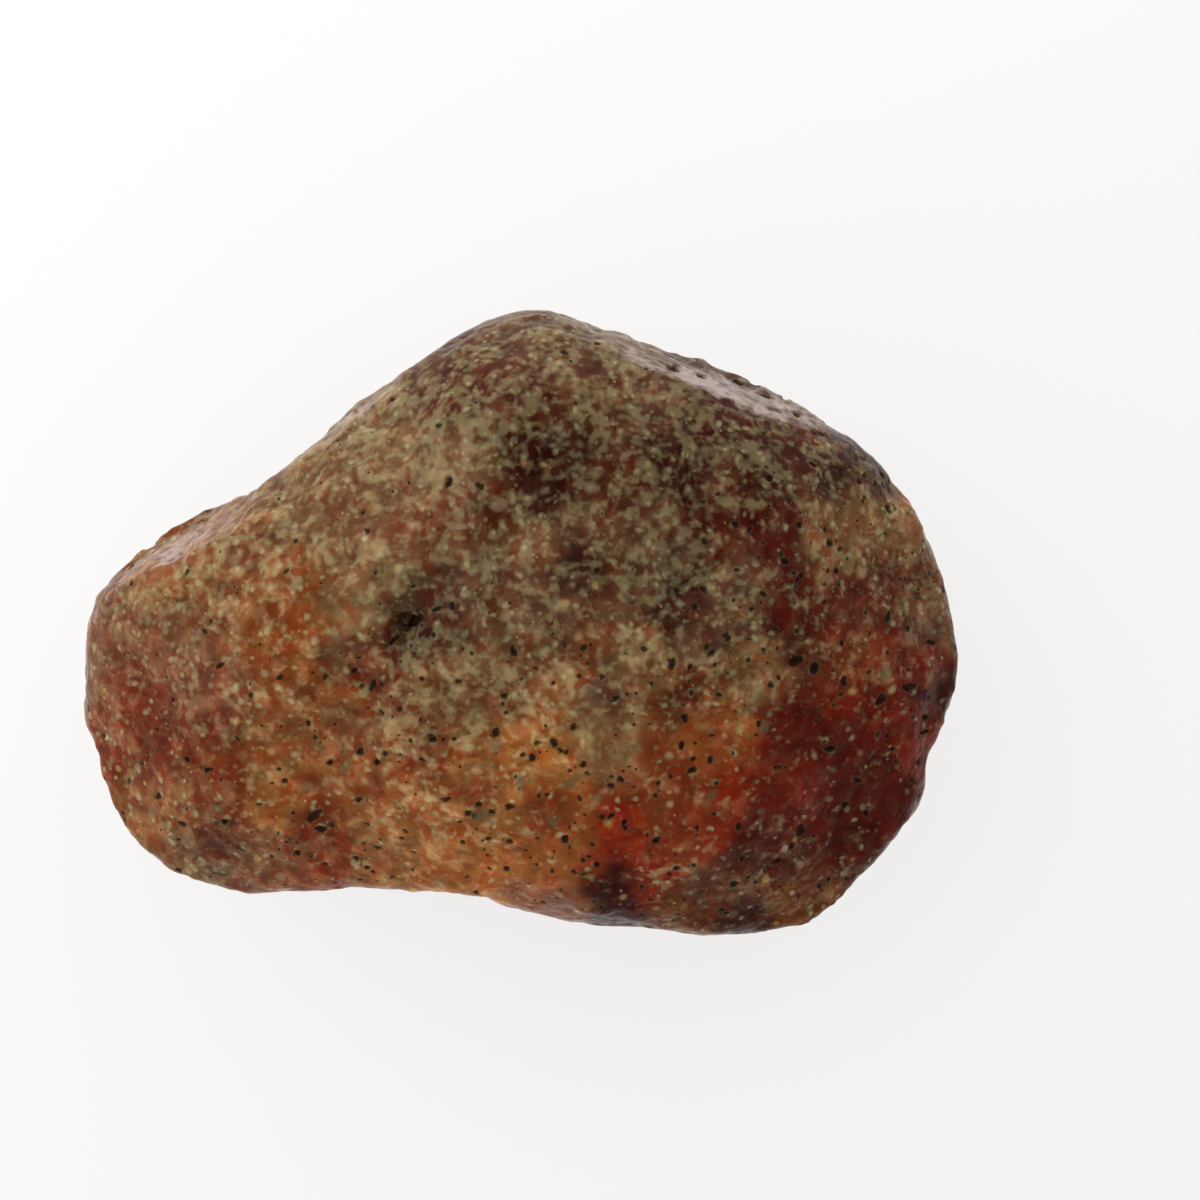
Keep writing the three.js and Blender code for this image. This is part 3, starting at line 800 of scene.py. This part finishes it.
def paint(mesh, skin, seen):
    """Keeps the slow colours and the amounts of each marking on the vertices."""
    frayed = fray_patches(seen, skin.places)
    under = smooth_step(*UNDERSIDE_FACINGS, skin.normals[:, 2])
    patches = [(x, y, reach, linear(PALETTE[name])) for name, x, y, reach in PATCHES]
    part = under[:, None]
    tint = blend_patches(frayed, patches) * (1 - part) + underside_tint(skin.places) * part
    store(mesh, "tint", tint)
    for name, table, hidden in (
        ("fleck", FLECK_PATCHES, UNDERSIDE_FLECKS),
        ("haze", HAZE_PATCHES, UNDERSIDE_HAZE),
        ("pore", PORE_PATCHES, UNDERSIDE_PORES),
    ):
        store(mesh, name, blend_patches(frayed, table)[:, 0] * (1 - under) + hidden * under)
    store(mesh, "pit_shade", skin.pit_shade)
    store(mesh, "pool", skin.pool)
    store(mesh, "lift", np.clip(relief(skin.places, SHADING_FROM) / SHADING_RANGE, -1, 1))
    store(mesh, "painted_sheen", painted_sheen_of(skin, seen))
    store(mesh, "crest", smooth_step(*CREST_HEIGHTS, skin.places[:, 2]))


def fit_box(places, low, high):
    """Stretches the skin a little, to the size of the solid."""
    mine_low = places.min(axis=0)
    mine_high = places.max(axis=0)
    return low + (places - mine_low) * (high - low) / (mine_high - mine_low)


def make_form(mesh):
    """Rounds the even mesh, halves its faces where it shows, and steepens its back."""
    sunk = round_facets(mesh)
    sunk = keep_through(mesh, sunk, lambda: refine(mesh, lambda face: face.normal.z > FACING_DOWN))
    places = even_out(read_places(mesh) / MM, read_edges(mesh), FINE_ROUNDS)
    write_places(mesh, places * MM)
    write_places(mesh, push_steep_faces(places, read_normals(mesh)) * MM)
    return sunk


def make_stone(node):
    """The skin of the stone: its form, the holes and relief pressed into it, and its markings."""
    stone = even_copy(node)
    mesh = stone.data
    sunk = make_form(mesh)
    places = read_places(mesh) / MM
    normals = read_normals(mesh)
    seen = in_photo(places)
    holes = find_listed(places, normals, seen, HOLES)
    holes += find_random_pits(places, normals, seen, np.random.default_rng(SEED))
    pools = find_listed(places, normals, seen, POOLS)
    sunk = keep_through(mesh, sunk, lambda: refine(mesh, near_a_hole(holes)))

    skin = Skin(read_places(mesh) / MM, read_normals(mesh), sunk)
    for hole in holes:
        skin.press(hole)
    for pool in pools:
        skin.fill(pool)
    lifted = relief(skin.places) * smooth_step(0.0, RELIEF_FULL_HEIGHT, skin.places[:, 2])
    moved = skin.places + skin.normals * (lifted - skin.drop)[:, None]
    moved[:, 2] = np.maximum(moved[:, 2], 0)
    low, high = (np.array(corner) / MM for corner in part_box(NODE))
    write_places(mesh, fit_box(moved, low, high) * MM)
    mesh.polygons.foreach_set("use_smooth", np.ones(len(mesh.polygons), bool))
    paint(mesh, skin, in_photo(skin.places))
    return stone


class Graph:
    """Adds nodes to a material or a world and joins them. A value is a number, a tuple or a socket."""

    def __init__(self, tree):
        self.tree = tree

    def add(self, kind, inputs, **settings):
        node = self.tree.nodes.new(kind)
        for name, value in settings.items():
            setattr(node, name, value)
        for name, value in inputs.items():
            self.feed(node.inputs[name], value)
        return node

    def feed(self, socket, value):
        if isinstance(value, bpy.types.NodeSocket):
            self.tree.links.new(value, socket)
        else:
            socket.default_value = value

    def math(self, operation, first, second=0.0):
        return self.add("ShaderNodeMath", {0: first, 1: second}, operation=operation).outputs[0]

    def times(self, first, second):
        return self.math("MULTIPLY", first, second)

    def plus(self, first, second):
        return self.math("ADD", first, second)

    def minus(self, first, second):
        return self.math("SUBTRACT", first, second)

    def vector(self, operation, first, second):
        inputs = {0: first, 1: second}
        return self.add("ShaderNodeVectorMath", inputs, operation=operation).outputs["Vector"]

    def scale(self, first, share):
        inputs = {0: first, "Scale": share}
        return self.add("ShaderNodeVectorMath", inputs, operation="SCALE").outputs["Vector"]

    def along(self, first, way):
        """How far a vector lies along a way."""
        inputs = {0: first, 1: way}
        return self.add("ShaderNodeVectorMath", inputs, operation="DOT_PRODUCT").outputs["Value"]

    def step(self, value, kind):
        """A soft step, whose results are numbers or sockets."""
        inputs = {"Value": value, "From Min": kind.low, "From Max": kind.high}
        inputs.update({"To Min": kind.at_low, "To Max": kind.at_high})
        return self.add("ShaderNodeMapRange", inputs, interpolation_type="SMOOTHSTEP").outputs[0]

    def by_crest(self, below, on_crest):
        """One value below the crest that turns into another on it."""
        return self.step(self.attribute("crest"), Step(0.0, 1.0, below, on_crest))

    def mix(self, share, first, second):
        """Mixes two colours. The sockets have numbers here, because this node repeats its names."""
        inputs = {0: share, 6: first, 7: second}
        return self.add("ShaderNodeMix", inputs, data_type="RGBA").outputs[2]

    def lay(self, ground, share, tone):
        """A share of a fixed tone, from 0 to 255, over the ground."""
        return self.mix(share, ground, (*linear(tone), 1.0))

    def split(self, colour):
        return self.add("ShaderNodeSeparateColor", {"Color": colour}).outputs

    def attribute(self, name, output="Fac"):
        return self.add("ShaderNodeAttribute", {}, attribute_name=name).outputs[output]

    def place(self):
        """The place on an object, in its own metres."""
        return self.add("ShaderNodeTexCoord", {}).outputs["Object"]

    def cloud(self, coords, kind):
        """Noise from 0 to 1, mostly near a half."""
        moved = self.vector("ADD", coords, kind.offset) if any(kind.offset) else coords
        inputs = {"Vector": moved, "Scale": 1 / kind.size}
        inputs.update({"Detail": kind.detail, "Roughness": kind.roughness})
        return self.add("ShaderNodeTexNoise", inputs).outputs["Fac"]

    def drift(self, coords, size):
        """A random way that turns over about a size, up to a half long on each axis."""
        inputs = {"Vector": coords, "Scale": 1 / size, "Detail": 0.0, "Roughness": 0.5}
        noise = self.add("ShaderNodeTexNoise", inputs).outputs["Color"]
        return self.vector("SUBTRACT", noise, (0.5, 0.5, 0.5))

    def dots(self, coords, kind, amount):
        """Dots in a share of the cells, each with a radius of its own, and a random number for each."""
        moved = self.vector("ADD", coords, kind.offset)
        cells = self.add("ShaderNodeTexVoronoi", {"Vector": moved, "Scale": 1 / kind.cell}, feature="F1")
        pick, chance, number = self.split(cells.outputs["Color"])[:3]
        radius = self.step(pick, Step(0.0, 1.0, kind.least / kind.cell, kind.most / kind.cell))
        inner = self.times(radius, kind.core)
        cover = self.step(cells.outputs["Distance"], Step(inner, radius, 1.0, 0.0))
        return self.times(cover, self.math("LESS_THAN", chance, amount)), number


def pale_of(graph, ground, light):
    """A pale fawn that gets brighter with the ground mass around it."""
    from_ground, fixed = light
    red = graph.split(ground)["Red"]
    return graph.scale(FAWN, graph.plus(graph.times(red, from_ground), fixed))


def lay_ground(graph, warped):
    """The ground mass: the slow colours, clouded, redder in places and deeper where curds will lie."""
    # Painted light and shade: the ground mass is lighter on the lumps of the relief and darker in its
    # hollows.
    lift = graph.step(graph.attribute("lift"), PAINTED_RELIEF_SHADING)
    shade = graph.step(graph.cloud(warped, SHADE_CLOUD), CLOUD_SHADES)
    ground = graph.scale(graph.attribute("tint", "Color"), graph.times(lift, shade))
    redder = graph.step(graph.cloud(warped, HUE_CLOUD), REDDER_FROM_HUE)
    ground = graph.mix(redder, ground, graph.vector("MULTIPLY", ground, REDDER))
    deeper = graph.step(graph.attribute("haze"), DEEPER_FROM_HAZE)
    return graph.mix(deeper, ground, graph.vector("MULTIPLY", ground, BETWEEN_CURDS))


def lay_haze(graph, ground, warped):
    """Khaki clouds with ragged edges, thickest on the lumps of the skin, partly painted light there."""
    haze = graph.attribute("haze")
    level = graph.plus(graph.cloud(warped, HAZE_CLOUD), graph.times(haze, HAZE_TO_HAZE))
    level = graph.plus(level, graph.times(graph.attribute("lift"), LIFT_TO_HAZE))
    share = graph.times(graph.step(level, HAZE_FROM_LEVEL), graph.step(haze, HAZE_MOST))
    return graph.mix(share, ground, graph.vector("ADD", ground, pale_of(graph, ground, HAZE_LIGHT)))


def lay_wisps(graph, ground, warped):
    """Thin curved pinkish wisps below the crest, as in a clouded jelly."""
    off_line = graph.math("ABSOLUTE", graph.minus(graph.cloud(warped, WISP_CLOUD), 0.5))
    most = graph.step(graph.attribute("crest"), WISP_MOST)
    share = graph.times(most, graph.step(off_line, WISP_FROM_LINE))
    wisp = graph.vector("ADD", graph.scale(ground, WISP_GROUND), pale_of(graph, ground, WISP_LIGHT))
    return graph.mix(share, ground, wisp)


def lay_curds(graph, ground, near):
    """Khaki curds with soft edges, and round grains, that crowd together where the haze is thick."""
    haze = graph.attribute("haze")
    crowd = graph.cloud(near, CROWD_CLOUD)
    level = graph.plus(graph.cloud(near, CURD_CLOUD), graph.times(crowd, CROWD_TO_CURD))
    level = graph.plus(level, graph.times(haze, HAZE_TO_CURD))
    level = graph.plus(level, graph.times(graph.attribute("lift"), LIFT_TO_CURD))
    share = graph.step(level, CURD_FROM_LEVEL._replace(at_high=graph.by_crest(*CURD_MOST)))
    curd = graph.vector("ADD", graph.scale(ground, CURD_GROUND), pale_of(graph, ground, CURD_LIGHT))
    ground = graph.mix(share, ground, curd)
    amount = graph.times(haze, graph.step(crowd, GRAINS_FROM_CROWD))
    cover, number = graph.dots(near, GRAINS, amount)
    share = graph.times(cover, graph.step(number, GRAIN_STRENGTH))
    return graph.mix(share, ground, pale_of(graph, ground, GRAIN_LIGHT))


def lay_flecks(graph, ground, near, kind, amount, strength):
    """Round cream dots that stand apart, a few of them amber."""
    kind = kind._replace(core=graph.by_crest(*kind.core))
    cover, number = graph.dots(near, kind, graph.times(graph.attribute("fleck"), amount))
    cream = pale_of(graph, ground, FLECK_LIGHT)
    tone = graph.mix(graph.step(number, AMBER_FLECKS), cream, graph.vector("MULTIPLY", cream, AMBER))
    return graph.mix(graph.times(cover, graph.step(number, strength)), ground, tone)


def lay_painted_sheen(graph, ground, warped):
    """A pale painted reflection on the steep faces, broken by brown chips that run down them."""
    painted_sheen = graph.attribute("painted_sheen")
    down = graph.vector("MULTIPLY", warped, SHEEN_STRETCH)
    uneven = graph.times(graph.minus(graph.cloud(down, SHEEN_CLOUD), 0.5), CLOUD_TO_SHEEN)
    thick = graph.step(graph.plus(painted_sheen, uneven), SHEEN_FROM_THICKNESS)
    ground = graph.lay(ground, graph.times(thick, graph.step(painted_sheen, SHEEN_WITHIN)), SHEEN_TONE)
    chips, _ = graph.dots(down, SHEEN_CHIPS, graph.times(painted_sheen, CHIP_AMOUNT))
    return graph.lay(ground, graph.times(chips, CHIP_STRENGTH), CHIP_TONE)


def lay_spots(graph, ground, near):
    """Small maroon spots all over, and grey-green drops among the pores."""
    spots, _ = graph.dots(near, MAROON_SPOTS, SPOT_AMOUNT)
    maroon = graph.vector("MULTIPLY", ground, MAROON)
    ground = graph.mix(graph.times(spots, SPOT_STRENGTH), ground, maroon)
    drops, _ = graph.dots(near, GREEN_DROPS, graph.times(graph.attribute("pore"), DROP_AMOUNT))
    return graph.lay(ground, graph.times(drops, DROP_STRENGTH), DROP_TONE)


def lay_pores(graph, ground, near, kind):
    """Fine pores with grey-green lips and painted shade inside them."""
    inside, _ = graph.dots(near, kind, graph.times(graph.attribute("pore"), PORE_AMOUNT))
    ground = graph.lay(ground, graph.step(inside, PORE_LIP), PORE_LIP_TONE)
    return graph.lay(ground, graph.step(inside, PORE_SHADE_SHARE), PORE_SHADE_TONE)


def lay_pits(graph, ground):
    """The pressed holes and dents: grey chalcedony in the filled ones, a grey-green lip and painted shade at
    the bottom.
    """
    pit_shade = graph.attribute("pit_shade")
    ground = graph.lay(ground, graph.times(graph.attribute("pool"), POOL_STRENGTH), POOL_TONE)
    lip = graph.minus(graph.step(pit_shade, PIT_LIP_BEGINS), graph.step(pit_shade, PIT_LIP_ENDS))
    ground = graph.lay(ground, graph.times(lip, PIT_LIP_STRENGTH), PIT_LIP_TONE)
    # Painted shade at the bottom of the holes and dents.
    return graph.lay(ground, graph.step(pit_shade, PIT_SHADE_SHARE), PIT_SHADE_TONE)


def lay_specks(graph, ground, speck):
    """Fine lighter and darker specks, fainter on the crest."""
    ends = {"at_low": graph.by_crest(*DARK_SPECKS), "at_high": graph.by_crest(*LIGHT_SPECKS)}
    return graph.scale(ground, graph.step(speck, SPECK_RANGE._replace(**ends)))


def new_material(name):
    """A material, what adds nodes to it, and its shader."""
    material = bpy.data.materials.new(name)
    material.use_nodes = True
    return material, Graph(material.node_tree), material.node_tree.nodes["Principled BSDF"]


def give_finish(graph, shader, place, speck):
    """The waxy gloss of the stone, with a fine grain."""
    for name, value in STONE_FINISH.items():
        shader.inputs[name].default_value = value
    grain = graph.cloud(place, GRAIN_CLOUD)
    crest = graph.times(graph.attribute("crest"), CREST_ROUGHNESS)
    graph.feed(shader.inputs["Roughness"], graph.plus(graph.step(grain, GRAIN_ROUGHNESS), crest))
    height = graph.plus(graph.times(grain, GRAIN_BUMP), graph.times(speck, SPECK_BUMP))
    strength = graph.by_crest(*BUMP_STRENGTH)
    inputs = {"Height": height, "Strength": strength, "Distance": BUMP_HEIGHT * MM}
    graph.feed(shader.inputs["Normal"], graph.add("ShaderNodeBump", inputs).outputs[0])


def make_chalcedony():
    """Waxy, slightly translucent chalcedony with all its markings, each laid over the ones before."""
    material, graph, shader = new_material("waxy_chalcedony")
    place = graph.scale(graph.place(), 1 / MM)
    drift = graph.drift(place, SLOW_DRIFT_SIZE)
    warped = graph.vector("ADD", place, graph.scale(drift, CLOUD_DRIFT))
    near = graph.vector("ADD", place, graph.scale(drift, DOT_DRIFT))
    jitter = graph.drift(place, FAST_DRIFT_SIZE)
    near = graph.vector("ADD", near, graph.scale(jitter, DOT_JITTER))
    speck = graph.cloud(place, SPECK_CLOUD)

    ground = lay_ground(graph, warped)
    ground = lay_haze(graph, ground, warped)
    ground = lay_wisps(graph, ground, warped)
    ground = lay_curds(graph, ground, near)
    ground = lay_flecks(graph, ground, near, LARGE_FLECKS, LARGE_FLECK_AMOUNT, LARGE_FLECK_STRENGTH)
    ground = lay_flecks(graph, ground, near, SMALL_FLECKS, SMALL_FLECK_AMOUNT, SMALL_FLECK_STRENGTH)
    ground = lay_painted_sheen(graph, ground, warped)
    ground = lay_spots(graph, ground, near)
    ground = lay_pores(graph, ground, near, SMALL_PORES)
    ground = lay_pores(graph, ground, near, LARGE_PORES)
    ground = lay_pits(graph, ground)
    ground = lay_specks(graph, ground, speck)
    graph.feed(shader.inputs["Base Color"], ground)
    give_finish(graph, shader, place, speck)
    return material


def make_floor():
    """A pale floor that glows a little, as a lit table does, so that the stone throws hardly any shadow."""
    bpy.ops.mesh.primitive_plane_add(size=FLOOR_SIZE * MM)
    floor = bpy.context.object
    floor.name = "floor"
    material, graph, shader = new_material("pale_floor")
    shader.inputs["Base Color"].default_value = (FLOOR_GREY, FLOOR_GREY, FLOOR_GREY, 1.0)
    shader.inputs["Roughness"].default_value = FLOOR_ROUGHNESS
    shader.inputs["Specular IOR Level"].default_value = 0.0
    shader.inputs["Emission Color"].default_value = WHITE
    out = graph.along(graph.place(), FLOOR_GLOW_WAY)
    reach = FLOOR_GLOW_REACH * MM
    graph.feed(shader.inputs["Emission Strength"], graph.step(out, Step(-reach, reach, *FLOOR_GLOW)))
    floor.data.materials.append(material)


def make_world():
    """Soft light from all sides, a little stronger from the back left and weak from straight above."""
    world = bpy.data.worlds.new("tent")
    world.use_nodes = True
    bpy.context.scene.world = world
    graph = Graph(world.node_tree)
    background = world.node_tree.nodes["Background"]
    background.inputs["Color"].default_value = WHITE
    direction = graph.add("ShaderNodeTexCoord", {}).outputs["Generated"]
    walls = graph.step(graph.along(direction, UP), WALL_LIGHT)
    side = graph.step(graph.along(direction, SIDE_WAY), SIDE_LIGHT)
    graph.feed(background.inputs["Strength"], graph.times(walls, side))


def make_camera():
    """A camera straight above, which sees the width of the frame at the height of the rim."""
    data = bpy.data.cameras.new("overhead")
    data.sensor_width = SENSOR_WIDTH
    data.lens = SENSOR_WIDTH * CAMERA_DISTANCE / FRAME_WIDTH
    data.clip_start = CLIP_START * MM
    camera = bpy.data.objects.new("overhead", data)
    camera.location = (CAMERA_X * MM, CAMERA_Y * MM, (CAMERA_DISTANCE + RIM_HEIGHT) * MM)
    bpy.context.scene.collection.objects.link(camera)
    bpy.context.scene.camera = camera


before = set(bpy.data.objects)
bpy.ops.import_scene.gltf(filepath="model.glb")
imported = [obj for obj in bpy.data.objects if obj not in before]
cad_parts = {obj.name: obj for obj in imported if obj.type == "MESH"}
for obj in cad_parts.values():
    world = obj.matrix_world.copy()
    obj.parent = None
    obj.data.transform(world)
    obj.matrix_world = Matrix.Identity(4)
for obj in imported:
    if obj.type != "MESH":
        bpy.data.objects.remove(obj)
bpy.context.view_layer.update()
bpy.context.scene.view_settings.view_transform = "Standard"
make_camera()
make_world()
make_floor()
stone = make_stone(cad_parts[NODE])
stone.data.materials.append(make_chalcedony())
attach(stone, "root")
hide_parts(NODE)
